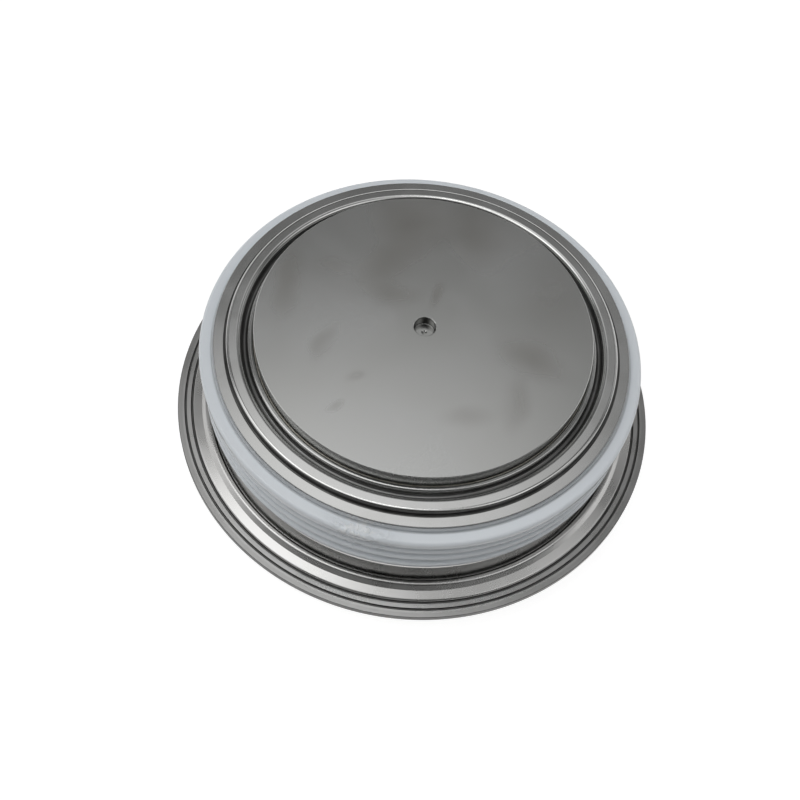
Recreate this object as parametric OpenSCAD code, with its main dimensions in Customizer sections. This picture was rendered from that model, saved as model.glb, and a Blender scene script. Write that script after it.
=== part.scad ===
// Press-pack thyristor in a ceramic disc housing.
// The lower clamping face lies on the XY plane, +Z is the stack axis, and the gate tube points along +Y.

/* [Poles] */
// Height between the two clamping faces
case_h = 26; // [25:0.5:30]
// Diameter of both clamping faces
pole_d = 54; // [50:0.5:60]
// Height of the lower pole, up to the face that carries the stack
anode_pole_h = 9.4; // [8.8:0.1:10.4]
// Height of the narrower boss at the inner end of each pole
boss_h = 2; // [1.6:0.1:2.4]
// Radial step from a pole down to its boss
boss_step = 2; // [1.5:0.1:3]
// Bevel round each clamping face
face_bevel = 0.1; // [0.05:0.05:0.3]
// Diameter of the centring hole in each clamping face
centre_hole_d = 3.5; // [3:0.1:5]
// Depth of the centring hole
centre_hole_depth = 1.6; // [1.2:0.1:2.2]
// Bevel at the mouth of the centring hole
centre_hole_bevel = 0.12; // [0.05:0.01:0.3]
// Diameter of the drill point left in the floor of the centring hole
drill_point_d = 0.9; // [0.5:0.1:1.5]
// Depth of the drill point
drill_point_depth = 0.35; // [0.2:0.05:0.6]

/* [Upper diaphragm] */
// Sheet thickness of the upper diaphragm
diaphragm_t = 0.4; // [0.3:0.05:0.45]
// Depth of the raised ring below the clamping face
ring_drop = 2.15; // [1.6:0.05:3]
// Bend radius of the bead that hugs the pole, at mid thickness
bead_r = 0.3; // [0.25:0.01:0.4]
// Depth of the bead's crown below the raised ring
bead_drop = 0.15; // [0:0.05:0.3]
// Bend radius of the groove, at mid thickness
groove_r = 0.65; // [0.5:0.05:0.7]
// Depth of the groove below the raised ring
groove_depth = 1.35; // [1.3:0.05:1.6]
// Width of the raised ring, between the middles of its two walls
ring_w = 2.15; // [1.8:0.05:3]
// Height of the raised ring above the outer land
ring_step = 0.95; // [0.9:0.05:1.2]
// Bend radius at the inner shoulder of the raised ring, at mid thickness
inner_shoulder_r = 0.65; // [0.4:0.05:0.7]
// Bend radius at the outer shoulder of the raised ring, at mid thickness
outer_shoulder_r = 0.45; // [0.3:0.01:0.45]
// Bend radius at the foot of the raised ring, at mid thickness
foot_r = 0.5; // [0.4:0.01:0.5]
// Width of the outer land, from the wall of the raised ring to the edge
land_w = 2.1; // [1.8:0.05:3]
// Length of the lip brazed to the pole
lip_len = 1.2; // [1:0.05:1.5]

/* [Ceramic ring] */
// Height of the ceramic's lower end above the lower clamping face
ceramic_seat = 12; // [11.8:0.05:12.2]
// Wall of the ceramic at its two end faces
end_wall = 3.55; // [3.2:0.05:4.5]
// Amount by which the ceramic's end face reaches past the land
end_margin = 0.3; // [0.1:0.05:0.6]
// Height of the plain collar at the top of the ceramic
top_collar_h = 0.5; // [0.3:0.05:0.8]
// Height of the plain collar at the foot of the ceramic
foot_collar_h = 0.3; // [0.2:0.05:0.6]
// Bevel on the outer edges of the two end faces
end_bevel = 0.12; // [0.05:0.01:0.2]
// Reach of the top shed past the end face
top_shed_reach = 2.05; // [1.9:0.05:2.4]
// Height of the top shed's straight face
top_face_h = 0.6; // [0.3:0.05:1]
// Radius of the top shed's upper edge
top_edge_r = 0.6; // [0.4:0.05:0.8]
// Radius of the fillet where the top shed meets the collar
collar_fillet_r = 0.15; // [0.1:0.05:0.3]
// Reach of the even sheds past the end face
shed_reach = 1.75; // [1.6:0.05:1.95]
// Radius of the sheds' rounded edges
shed_edge_r = 0.9; // [0.8:0.01:0.95]
// Radius of the valleys between the sheds
valley_arc_r = 0.4; // [0.35:0.01:0.5]
// Depth of the valleys between the sheds
valley_depth = 0.6; // [0.5:0.05:0.8]

/* [Weld rim] */
// Sheet thickness of the lower weld flange
flange_t = 0.62; // [0.5:0.01:0.64]
// Sheet thickness of the lower cover
cover_t = 0.62; // [0.5:0.01:0.64]
// Height of the welded joint above the lower clamping face
joint_h = 5.25; // [4.9:0.01:5.5]
// Reach of the flange's neck past the ceramic's end face
neck_reach = 1.05; // [0.9:0.05:1.4]
// Bend radius at the top of the neck, at mid thickness
neck_bend_r = 0.6; // [0.4:0.05:0.8]
// Bend radius of the crease and the ridge, at mid thickness
crease_r = 0.35; // [0.35:0.01:0.38]
// Width of the crease at the foot of the neck
crease_w = 0.74; // [0.72:0.01:1]
// Height of the crease above the welded joint
crease_h = 0.93; // [0.9:0.01:1.1]
// Height of the ridge's crown above the crease
ridge_h = 0.72; // [0.71:0.01:0.85]
// Width of the ridge's crown
ridge_w = 0.5; // [0.5:0.01:0.8]
// Width of the ridge's outer flank
ridge_flank_w = 0.7; // [0.5:0.01:0.8]
// Width of the sloping skirt outside the ridge
skirt_w = 1.7; // [1.5:0.05:2.5]
// Fall of the skirt over its width
skirt_fall = 0.45; // [0.35:0.01:0.5]
// Step from the skirt's edge down to the weld land
skirt_step = 0.15; // [0.1:0.01:0.25]
// Width of the flat weld land, out to the rim
weld_w = 2.6; // [2.4:0.01:3]
// Width of the two pressed rings in the weld land
press_w = 0.4; // [0.2:0.01:0.45]
// Depth of the two pressed rings
press_depth = 0.28; // [0.1:0.01:0.3]
// Distance between the two pressed rings
press_gap = 0.69; // [0.5:0.01:0.9]
// Bend radius of the bead on the lower cover, at mid thickness
cover_bead_r = 0.5; // [0.45:0.01:0.6]
// Distance of that bead's crown from the welded joint
cover_bead_drop = 1.65; // [1.5:0.05:1.8]
// Rise of the lower cover's groove above its flat part
cover_groove_rise = 0.8; // [0.75:0.01:1]
// Width of that groove's floor
cover_groove_w = 1.5; // [1.2:0.05:2]
// Thickness of the braze in each brazed seat
braze_t = 0.1; // [0.05:0.01:0.12]

/* [Stack] */
// Thickness of the silver foils
silver_t = 0.1; // [0.05:0.01:0.2]
// Thickness of the molybdenum disc under the wafer
anode_disc_t = 2.2; // [1.8:0.1:2.6]
// Thickness of the silicon wafer
wafer_t = 0.6; // [0.4:0.05:0.8]
// Thickness of the molybdenum disc on the wafer
cathode_disc_t = 0.6; // [0.5:0.05:0.8]
// Setback of the wafer's rim from the disc under it
wafer_setback = 1; // [0.8:0.05:1.3]
// Width of the bevel ground on the wafer's rim
wafer_bevel = 0.4; // [0.2:0.05:0.5]
// Setback of the upper disc from the wafer's rim
cathode_setback = 1; // [0.9:0.05:1.5]
// Height of the rubber above the wafer
coating_rise = 0.4; // [0.2:0.05:0.45]
// Gap between the rubber and the upper disc
coating_gap = 0.3; // [0.1:0.05:0.4]
// Running gap round the locating ring
ring_gap = 0.1; // [0.05:0.01:0.15]
// Play of the locating ring inside the ceramic
ring_play = 0.3; // [0.2:0.05:0.5]

/* [Gate] */
// Height of the gate lead above the upper pole's inner face
lead_rise = 1.8; // [1.7:0.05:2.2]
// Diameter of the gate bore in the upper pole
gate_bore_d = 7; // [6.5:0.1:8]
// Depth of the gate bore
gate_bore_depth = 6.6; // [6:0.1:7.5]
// Play of the insulating cup in the gate bore
cup_play = 0.1; // [0.05:0.01:0.15]
// Wall of the insulating cup
cup_wall = 1.1; // [0.8:0.05:1.2]
// Thickness of the insulating cup's end
cup_end_t = 0.8; // [0.6:0.05:1]
// Thickness of the guide bush under the cup
bush_t = 1; // [0.8:0.05:1.1]
// Diameter of the gate hole through the foil and disc
gate_hole_d = 3; // [2.4:0.1:3.4]
// Diameter of the contact pin's stem
pin_d = 1.5; // [1.2:0.1:1.7]
// Diameter of the contact pin's head
pin_head_d = 4.2; // [3.9:0.05:4.3]
// Height of the contact pin's head
pin_head_h = 1; // [0.95:0.05:1.2]
// Diameter of the pin's spigot inside the spring
spigot_d = 1.8; // [1.4:0.1:2]
// Length of the pin's spigot
spigot_h = 1.2; // [0.8:0.1:1.6]
// Wire diameter of the gate spring
spring_wire_d = 0.45; // [0.35:0.01:0.5]
// Mean diameter of the gate spring
spring_d = 2.9; // [2.7:0.05:3.2]
// Open turns of the gate spring
spring_turns = 3; // [2:1:4]
// Diameter of the gate lead
lead_d = 0.8; // [0.6:0.05:0.85]
// Depth of the lead's hole in the pin's head
lead_hole_depth = 1.2; // [0.8:0.05:1.4]
// Outer diameter of the lead's sleeve
sleeve_d = 1.6; // [1.3:0.05:1.6]
// Width of the lead slot in the upper pole
slot_w = 2.2; // [2:0.05:2.6]
// Room above the lead in the slot
slot_room = 1.1; // [1:0.05:1.4]
// Outer diameter of the gate tube
tube_d = 2.4; // [2.4:0.05:2.6]
// Bore of the gate tube
tube_bore_d = 1.5; // [1.2:0.05:1.6]
// Reach of the gate tube inside the ceramic
tube_inner_reach = 0.4; // [0.2:0.05:0.6]
// Reach of the gate tube outside the flat on the ceramic
tube_outer_reach = 5.6; // [5.4:0.1:5.8]
// Outer diameter of the tube's swaged end, which takes the gate wire's connector
tube_end_d = 2; // [1.9:0.02:2]
// Length of the swaged end
tube_end_len = 4.7; // [4:0.1:4.8]
// Width of the flat ground through the sheds for the gate tube
flat_w = 5; // [4.6:0.1:6]
// Depth of the flat below the floors of the valleys
flat_depth = 0.3; // [0.2:0.05:0.5]
// Diameter of the collar brazed to the flat
collar_d = 4.4; // [3.8:0.1:4.6]
// Thickness of that collar
collar_t = 0.4; // [0.3:0.05:0.6]
// Length of the solder seal in the tube's outer end
seal_len = 2; // [1.5:0.1:2.5]
// Height of the seal's dome
seal_dome = 0.25; // [0.1:0.05:0.4]

/* [Hidden] */
$fn = 120;
arc_step = 13;
cutter = 0.5;

// Radial stations, from the axis outwards
pole_r = pole_d / 2;
boss_r = pole_r - boss_step;
lip_r = pole_r + braze_t + diaphragm_t / 2;
bead_out_r = lip_r + 2 * bead_r;
ring_in_r = bead_out_r + 2 * groove_r;
ring_out_r = ring_in_r + ring_w;
land_r = ring_out_r + land_w;
end_r = land_r + end_margin;
bore_r = end_r - end_wall;
top_shed_r = end_r + top_shed_reach;
shed_r = end_r + shed_reach;
neck_r = end_r + neck_reach - flange_t / 2;
ridge_in_r = neck_r + crease_w;
ridge_out_r = ridge_in_r + ridge_w;
skirt_in_r = ridge_out_r + ridge_flank_w;
skirt_out_r = skirt_in_r + skirt_w;
rim_r = skirt_out_r + weld_w;

// Heights, from the lower clamping face upwards
boss_z = anode_pole_h - boss_h;
anode_disc_z = anode_pole_h + silver_t;
wafer_z = anode_disc_z + anode_disc_t;
cathode_disc_z = wafer_z + wafer_t;
cathode_foil_z = cathode_disc_z + cathode_disc_t;
cathode_pole_z = cathode_foil_z + silver_t;
ring_z = case_h - ring_drop - diaphragm_t / 2;
bead_z = ring_z - bead_drop;
groove_z = ring_z - groove_depth;
land_z = ring_z - ring_step;
ceramic_top = land_z - diaphragm_t / 2 - braze_t;
flange_top_z = ceramic_seat - braze_t - flange_t / 2;
flange_rim_z = joint_h + flange_t / 2;
crease_z = joint_h + crease_h;
ridge_z = crease_z + ridge_h;
skirt_z = flange_rim_z + skirt_fall + skirt_step;
cover_rim_z = joint_h - cover_t / 2;
cover_bead_z = joint_h - cover_bead_drop + cover_t / 2;

// Gate stations
lead_z = cathode_pole_z + lead_rise;
bore_top_z = cathode_pole_z + gate_bore_depth;
cup_r = gate_bore_d / 2 - cup_play;
bush_top_z = cathode_pole_z + bush_t;
head_z = lead_z - pin_head_h / 2;
head_top_z = lead_z + pin_head_h / 2;
cup_ceiling_z = bore_top_z - cup_end_t;
tube_in_y = bore_r - tube_inner_reach;
flat_y = shed_r - valley_depth - flat_depth;
tube_out_y = flat_y + tube_outer_reach;
tube_end_y = tube_out_y - tube_end_len;
seal_in_y = tube_out_y - seal_len;

// Unit vector from one point to the next, and the vector to the left of a heading
function heading(a, b) = (b - a) / norm(b - a);
function left_of(u) = [-u[1], u[0]];

// Points of the arc round a centre from angle a to angle b
function arc(centre, r, a, b) =
    let (steps = ceil(abs(b - a) / arc_step))
    [for (i = [0:steps])
        centre + r * [cos(a + (b - a) * i / steps), sin(a + (b - a) * i / steps)]];

// The arc that rounds corner b of the path a-b-c to radius r, moved side to the left
function bend(a, b, c, r, side) =
    let (u = heading(a, b), v = heading(b, c))
    let (turn = atan2(u[0] * v[1] - u[1] * v[0], u * v))
    let (hand = sign(turn), run = r * tan(abs(turn) / 2))
    let (start = atan2(u[1], u[0]) - hand * 90)
    arc(b - run * u + hand * r * left_of(u), r - hand * side, start, start + turn);

// A path of [radius, height, bend radius] corners, moved side to its left
function side_of(path, side) =
    let (p = [for (q = path) [q[0], q[1]]], last = len(path) - 1)
    concat(
        [p[0] + side * left_of(heading(p[0], p[1]))],
        [for (i = [1:last - 1]) each bend(p[i - 1], p[i], p[i + 1], path[i][2], side)],
        [p[last] + side * left_of(heading(p[last - 1], p[last]))]
    );

function reversed(points) = [for (i = [len(points) - 1:-1:0]) points[i]];

// Section of a sheet of thickness t bent along a path
module sheet_section(path, t) {
    polygon(concat(side_of(path, t / 2), reversed(side_of(path, -t / 2))));
}

// A flat round washer standing on height z
module washer(r_in, r_out, z, t) {
    translate([0, 0, z])
        difference() {
            cylinder(r = r_out, h = t);
            if (r_in > 0)
                translate([0, 0, -cutter])
                    cylinder(r = r_in, h = t + 2 * cutter);
        }
}

// A round bar along +Y at the height of the gate lead
module lead_bar(r, y_from, y_to) {
    translate([0, y_from, lead_z])
        rotate([-90, 0, 0])
            cylinder(r = r, h = y_to - y_from);
}

// Centring hole sunk from a clamping face at the origin down -Z, with its bevel and drill point
module centring_hole() {
    hole_r = centre_hole_d / 2;
    point_z = -centre_hole_depth - drill_point_depth;
    rotate_extrude()
        polygon([
            [0, cutter],
            [hole_r + centre_hole_bevel + cutter, cutter],
            [hole_r, -centre_hole_bevel],
            [hole_r, -centre_hole_depth],
            [drill_point_d / 2, -centre_hole_depth],
            [0, point_z]
        ]);
}

// Turned pole standing on its clamping face, with a boss of its own height at the inner end
module pole_blank(height) {
    rotate_extrude()
        polygon([
            [0, 0],
            [pole_r - face_bevel, 0],
            [pole_r, face_bevel],
            [pole_r, height - boss_h],
            [boss_r, height - boss_h],
            [boss_r, height - face_bevel],
            [boss_r - face_bevel, height],
            [0, height]
        ]);
}

// Upper copper pole, with the bore and slot that hold the gate contact
module cathode_pole() {
    color("#a3a29f")
        difference() {
            translate([0, 0, case_h])
                mirror([0, 0, 1])
                    pole_blank(case_h - cathode_pole_z);
            translate([0, 0, case_h])
                centring_hole();
            translate([0, 0, cathode_pole_z - cutter])
                cylinder(d = gate_bore_d, h = gate_bore_depth + cutter);
            translate([-slot_w / 2, 0, cathode_pole_z - cutter])
                cube([slot_w, pole_d, lead_rise + slot_room + cutter]);
        }
}

// Braze film between a pole and the lip round it
module pole_braze(z, height) {
    color("#b9b4a4")
        washer(pole_r, pole_r + braze_t, z, height);
}

module cathode_pole_braze() {
    pole_braze(bead_z - lip_len, lip_len - bead_r);
}

// Formed spring diaphragm: lip, bead, groove, raised ring and flat land
module cathode_diaphragm() {
    color("#aeadaa")
        rotate_extrude()
            sheet_section([
                [lip_r, bead_z - lip_len],
                [lip_r, bead_z, bead_r],
                [bead_out_r, bead_z, bead_r],
                [bead_out_r, groove_z, groove_r],
                [ring_in_r, groove_z, groove_r],
                [ring_in_r, ring_z, inner_shoulder_r],
                [ring_out_r, ring_z, outer_shoulder_r],
                [ring_out_r, land_z, foot_r],
                [land_r, land_z]
            ], diaphragm_t);
}

module upper_ceramic_braze() {
    color("#b9b4a4")
        washer(ring_out_r + foot_r, land_r - braze_t, ceramic_top, braze_t);
}

// Height between the centres of two touching arcs whose centres lie reach apart sideways
function arc_drop(radii, reach) = sqrt(radii * radii - reach * reach);

// The even sheds fill the height under the top shed, as many as it takes
shed_top = ceramic_top - top_collar_h - collar_fillet_r;
fillet = [end_r + collar_fillet_r, ceramic_top - top_collar_h];
foot = [end_r + valley_arc_r, ceramic_seat + foot_collar_h];
valley_x = shed_r - valley_depth + valley_arc_r;
shed_x = shed_r - shed_edge_r;
top_shed_x = top_shed_r - shed_edge_r;
radii = shed_edge_r + valley_arc_r;
valley_drop = arc_drop(radii, shed_x - valley_x);
foot_drop = arc_drop(radii, shed_x - foot[0]);
top_drop = arc_drop(radii, top_shed_x - valley_x);
top_face_z = shed_top - top_edge_r - top_face_h;
sheds_h = top_face_z - top_drop - foot[1] - foot_drop + valley_drop;
shed_count = floor(sheds_h / (2 * valley_drop));
face_h = sheds_h / shed_count - 2 * valley_drop;
valley_turn = atan2(valley_drop, valley_x - shed_x);
foot_turn = atan2(foot_drop, foot[0] - shed_x);
top_turn = atan2(top_drop, valley_x - top_shed_x);
function valley_z(i) = top_face_z - top_drop - i * sheds_h / shed_count;

// Section of the ceramic from its top face down: collar, top shed, valleys and even sheds, collar
module ceramic_section() {
    polygon(concat(
        [
            [bore_r, ceramic_top],
            [end_r - end_bevel, ceramic_top],
            [end_r, ceramic_top - end_bevel]
        ],
        arc(fillet, collar_fillet_r, 180, 270),
        arc([top_shed_r - top_edge_r, shed_top - top_edge_r], top_edge_r, 90, 0),
        arc([top_shed_x, top_face_z], shed_edge_r, 0, -top_turn),
        [for (i = [0:shed_count - 1])
            let (above = i == 0 ? top_turn : valley_turn)
            let (below = i == shed_count - 1 ? foot_turn : valley_turn)
            let (low_z = valley_z(i) - valley_drop - face_h)
            each concat(
                arc([valley_x, valley_z(i)], valley_arc_r, 180 - above, 180 + valley_turn),
                arc([shed_x, valley_z(i) - valley_drop], shed_edge_r, valley_turn, 0),
                arc([shed_x, low_z], shed_edge_r, 0, -below)
            )],
        arc(foot, valley_arc_r, 180 - foot_turn, 180),
        [
            [end_r, ceramic_seat + end_bevel],
            [end_r - end_bevel, ceramic_seat],
            [bore_r, ceramic_seat]
        ]
    ));
}

// Ceramic ring with a flat ground through its even sheds, where the gate tube comes out
module ceramic_blank() {
    difference() {
        rotate_extrude()
            ceramic_section();
        translate([-flat_w / 2, flat_y, ceramic_seat - cutter])
            cube([flat_w, top_shed_r - flat_y, valley_z(0) - ceramic_seat + cutter]);
    }
}

// Glazed ceramic ring, bored for the gate tube
module ceramic_ring() {
    color("#e3e9ec")
        difference() {
            ceramic_blank();
            lead_bar(tube_d / 2, 0, top_shed_r);
        }
}

module lower_ceramic_braze() {
    color("#b9b4a4")
        washer(bore_r + 2 * braze_t, neck_r - neck_bend_r, ceramic_seat - braze_t, braze_t);
}

// Weld flange: seat under the ceramic, neck, crease, ridge, sloping skirt and pressed weld land
module weld_flange() {
    color("#9f9e9b")
        rotate_extrude()
            difference() {
                sheet_section([
                    [bore_r + braze_t, flange_top_z],
                    [neck_r, flange_top_z, neck_bend_r],
                    [neck_r, crease_z, crease_r],
                    [ridge_in_r, crease_z, crease_r],
                    [ridge_in_r, ridge_z, crease_r],
                    [ridge_out_r, ridge_z, crease_r],
                    [skirt_in_r, skirt_z, crease_r],
                    [skirt_out_r - press_w / 2, skirt_z - skirt_fall, press_w / 2],
                    [skirt_out_r, flange_rim_z, press_w / 2],
                    [rim_r, flange_rim_z]
                ], flange_t);
                for (r = [skirt_out_r, skirt_out_r + press_w + press_gap])
                    translate([r, flange_rim_z + flange_t / 2])
                        press_mark();
            }
}

// Section of one of the rings that the welding tool presses into the land
module press_mark() {
    polygon([
        [0, cutter],
        [0, 0],
        [press_w / 4, -press_depth],
        [press_w * 3 / 4, -press_depth],
        [press_w, 0],
        [press_w, cutter]
    ]);
}

// Lower cover: lip on the pole, bead, groove and the flat that is welded to the flange's rim
cover_lip_r = pole_r + braze_t + cover_t / 2;
cover_bead_out_r = cover_lip_r + 2 * cover_bead_r;
cover_groove_z = cover_rim_z + cover_groove_rise;
cover_lip_top = cover_groove_z + cover_t / 2;
module anode_cover() {
    color("#9f9e9b")
        rotate_extrude()
            sheet_section([
                [cover_lip_r, cover_lip_top],
                [cover_lip_r, cover_bead_z, cover_bead_r],
                [cover_bead_out_r, cover_bead_z, cover_bead_r],
                [cover_bead_out_r, cover_groove_z, cover_bead_r],
                [cover_bead_out_r + cover_groove_w, cover_groove_z, crease_r],
                [cover_bead_out_r + cover_groove_w, cover_rim_z, crease_r],
                [rim_r, cover_rim_z]
            ], cover_t);
}

module anode_pole_braze() {
    pole_braze(cover_bead_z + cover_bead_r, cover_lip_top - cover_bead_z - cover_bead_r);
}

// Lower copper pole
module anode_pole() {
    color("#a3a29f")
        difference() {
            pole_blank(anode_pole_h);
            mirror([0, 0, 1])
                centring_hole();
        }
}

module anode_silver_foil() {
    color("#d9d9d4")
        washer(0, boss_r - face_bevel, anode_pole_h, silver_t);
}

module anode_molybdenum_disc() {
    color("#8d8f93")
        washer(0, boss_r, anode_disc_z, anode_disc_t);
}

// Wafer with a bevelled rim
wafer_r = boss_r - wafer_setback;
module silicon_wafer() {
    color("#4a4f5c")
        translate([0, 0, wafer_z])
            cylinder(r1 = wafer_r, r2 = wafer_r - wafer_bevel, h = wafer_t);
}

// Upper disc and foil, with the hole that the gate pin passes through
cathode_disc_r = wafer_r - cathode_setback;
module cathode_molybdenum_disc() {
    color("#8d8f93")
        washer(gate_hole_d / 2, cathode_disc_r, cathode_disc_z, cathode_disc_t);
}

module cathode_silver_foil() {
    color("#d9d9d4")
        washer(gate_hole_d / 2, cathode_disc_r, cathode_foil_z, silver_t);
}

// Silicone rubber cast round the wafer's bevelled rim
module wafer_edge_rubber() {
    coat_in_r = cathode_disc_r + coating_gap;
    coat_out_r = boss_r - ring_gap;
    color("#b5523b")
        rotate_extrude()
            polygon([
                [wafer_r, wafer_z],
                [coat_out_r, wafer_z],
                [coat_out_r, cathode_disc_z],
                [wafer_r, cathode_disc_z + coating_rise],
                [coat_in_r, cathode_disc_z + coating_rise],
                [coat_in_r, cathode_disc_z],
                [wafer_r - wafer_bevel, cathode_disc_z]
            ]);
}

// Plastic ring that stands on the lower pole's shoulder and centres the stack in the ceramic
module locating_ring() {
    color("#f2f0e8")
        washer(
            boss_r + ring_gap, bore_r - ring_play,
            boss_z, cathode_pole_z + ring_gap - boss_z
        );
}

// Insulating bush that closes the cup and guides the pin
module gate_guide_bush() {
    color("#efece0")
        washer(pin_d / 2 + ring_gap, cup_r, cathode_pole_z, bush_t);
}

// Contact pin: stem on the wafer, head with the lead's hole, spigot for the spring
module gate_contact_pin() {
    color("#c9c6bd")
        difference() {
            union() {
                translate([0, 0, cathode_disc_z])
                    cylinder(d = pin_d, h = head_z - cathode_disc_z);
                translate([0, 0, head_z])
                    cylinder(d = pin_head_d, h = pin_head_h);
                translate([0, 0, head_top_z])
                    cylinder(d = spigot_d, h = spigot_h);
            }
            lead_bar(lead_d / 2, pin_head_d / 2 - lead_hole_depth, pin_head_d);
        }
}

// Compression spring: a closed turn at each end, open turns between, swept along its helix
spring_sides = 8;
spring_rings_per_turn = 18;
spring_low = head_top_z + spring_wire_d / 2;
spring_high = cup_ceiling_z - spring_wire_d / 2;
spring_all_turns = spring_turns + 2;
spring_rings = spring_all_turns * spring_rings_per_turn;
spring_lift = spring_high - spring_low - 2 * spring_wire_d;
function spring_height(turn) =
    spring_low
    + spring_wire_d * (min(turn, 1) + max(turn - spring_all_turns + 1, 0))
    + spring_lift * min(max(turn - 1, 0), spring_turns) / spring_turns;
function spring_ring(i) =
    let (turn = i / spring_rings_per_turn, a = 360 * turn, z = spring_height(turn))
    [for (k = [0:spring_sides - 1])
        let (b = 360 * k / spring_sides)
        let (r = spring_d / 2 + spring_wire_d / 2 * cos(b))
        [r * cos(a), r * sin(a), z + spring_wire_d / 2 * sin(b)]];
module gate_spring() {
    last = spring_rings * spring_sides;
    color("#b8babd")
        polyhedron(
            points = [for (i = [0:spring_rings]) each spring_ring(i)],
            faces = concat(
                [[for (k = [0:spring_sides - 1]) k]],
                [for (i = [0:spring_rings - 1], k = [0:spring_sides - 1])
                    let (a = i * spring_sides + k)
                    let (b = i * spring_sides + (k + 1) % spring_sides)
                    [a, a + spring_sides, b + spring_sides, b]],
                [[for (k = [spring_sides - 1:-1:0]) last + k]]
            )
        );
}

// Insulating cup in the gate bore, notched where the lead leaves it
module gate_insulating_cup() {
    color("#efece0")
        difference() {
            washer(0, cup_r, bush_top_z, bore_top_z - bush_top_z);
            translate([0, 0, bush_top_z - cutter])
                cylinder(r = cup_r - cup_wall, h = cup_ceiling_z - bush_top_z + cutter);
            translate([-lead_d / 2 - cup_play, 0, bush_top_z - cutter])
                cube([lead_d + 2 * cup_play, gate_bore_d, lead_z + lead_d / 2 + 2 * cup_play
                    - bush_top_z + cutter]);
        }
}

module gate_lead() {
    color("#d2d0c8")
        lead_bar(lead_d / 2, pin_head_d / 2 - lead_hole_depth, tube_out_y - seal_len / 2);
}

module gate_lead_sleeve() {
    color("#f4f4f0")
        difference() {
            lead_bar(sleeve_d / 2, gate_bore_d / 2 + cup_play, tube_in_y - ring_play);
            lead_bar(lead_d / 2, 0, bore_r);
        }
}

// Metal tube brazed through the ceramic wall and swaged down outside it
module gate_tube() {
    color("#a9a8a4")
        difference() {
            union() {
                lead_bar(tube_d / 2, tube_in_y, tube_end_y);
                lead_bar(tube_end_d / 2, tube_end_y, tube_out_y);
            }
            lead_bar(tube_bore_d / 2, tube_in_y - cutter, tube_out_y + cutter);
        }
}

// Collar brazed to the flat, round the tube
module gate_tube_collar() {
    color("#a9a8a4")
        difference() {
            lead_bar(collar_d / 2, flat_y, flat_y + collar_t);
            lead_bar(tube_d / 2, flat_y - cutter, flat_y + collar_t + cutter);
        }
}

// Solder that seals the tube round the end of the lead
module gate_tube_seal() {
    dome_r = (pow(tube_bore_d / 2, 2) + pow(seal_dome, 2)) / (2 * seal_dome);
    color("#c3c2bd")
        difference() {
            union() {
                lead_bar(tube_bore_d / 2, seal_in_y, tube_out_y);
                intersection() {
                    translate([0, tube_out_y + seal_dome - dome_r, lead_z])
                        sphere(r = dome_r);
                    lead_bar(tube_bore_d / 2, tube_out_y, tube_out_y + 2 * seal_dome);
                }
            }
            lead_bar(lead_d / 2, seal_in_y - cutter, tube_out_y - seal_len / 2);
        }
}

cathode_pole();
cathode_pole_braze();
cathode_diaphragm();
upper_ceramic_braze();
ceramic_ring();
lower_ceramic_braze();
weld_flange();
anode_cover();
anode_pole_braze();
anode_pole();
anode_silver_foil();
anode_molybdenum_disc();
silicon_wafer();
wafer_edge_rubber();
cathode_molybdenum_disc();
cathode_silver_foil();
locating_ring();
gate_guide_bush();
gate_contact_pin();
gate_spring();
gate_insulating_cup();
gate_lead();
gate_lead_sleeve();
gate_tube();
gate_tube_collar();
gate_tube_seal();
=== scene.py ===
from math import atan2, ceil, cos, degrees, radians, sin, tan

import bpy
import numpy as np
from mathutils import Matrix, Vector


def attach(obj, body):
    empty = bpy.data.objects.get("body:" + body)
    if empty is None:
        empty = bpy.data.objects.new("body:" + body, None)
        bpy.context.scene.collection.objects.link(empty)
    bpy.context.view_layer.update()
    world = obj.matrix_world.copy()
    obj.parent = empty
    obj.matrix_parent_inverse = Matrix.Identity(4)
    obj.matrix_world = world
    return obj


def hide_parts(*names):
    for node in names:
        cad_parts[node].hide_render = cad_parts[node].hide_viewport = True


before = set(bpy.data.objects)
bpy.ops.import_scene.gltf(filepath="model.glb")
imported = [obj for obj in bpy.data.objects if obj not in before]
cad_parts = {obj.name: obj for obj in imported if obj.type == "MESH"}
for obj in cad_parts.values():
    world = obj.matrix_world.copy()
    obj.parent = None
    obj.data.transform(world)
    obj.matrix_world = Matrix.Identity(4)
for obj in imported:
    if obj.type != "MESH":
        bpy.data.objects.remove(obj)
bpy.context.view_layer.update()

# Upper pole: a copper slug, turned, lapped flat and nickel plated to a satin finish. Its clamping
# face has a small centring hole, the soft marks that handling leaves and broad painted shade.
# Its inner end is bored for the gate contact and slotted for the gate lead.
MM = 0.001
SHARP_EDGE = radians(38)


def filleted(corners, closed=True, step=7.0):
    """Outline with rounded corners. Each corner is (radius, height, rounding). A rounded corner
    becomes an arc that touches both of its sides: it starts rounding * tan(turn / 2) before the
    corner and turns about a centre that lies one rounding to the inside."""
    corners = np.asarray(corners, float)
    points = []
    for i, (r, z, rounding) in enumerate(corners):
        here = np.array([r, z])
        if rounding <= 0 or (not closed and i in (0, len(corners) - 1)):
            points.append(here[None])
            continue
        before = here - corners[i - 1, :2]
        after = corners[(i + 1) % len(corners), :2] - here
        before, after = before / np.linalg.norm(before), after / np.linalg.norm(after)
        turn = atan2(before[0] * after[1] - before[1] * after[0], before @ after)
        hand = np.sign(turn)
        centre = here - before * rounding * tan(abs(turn) / 2)
        centre = centre + hand * rounding * np.array([-before[1], before[0]])
        angle = atan2(before[1], before[0]) - hand * radians(90)
        angle = angle + turn * np.linspace(0, 1, ceil(abs(degrees(turn)) / step) + 1)
        points.append(centre + rounding * np.stack([np.cos(angle), np.sin(angle)], 1))
    return np.concatenate(points)


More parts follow.
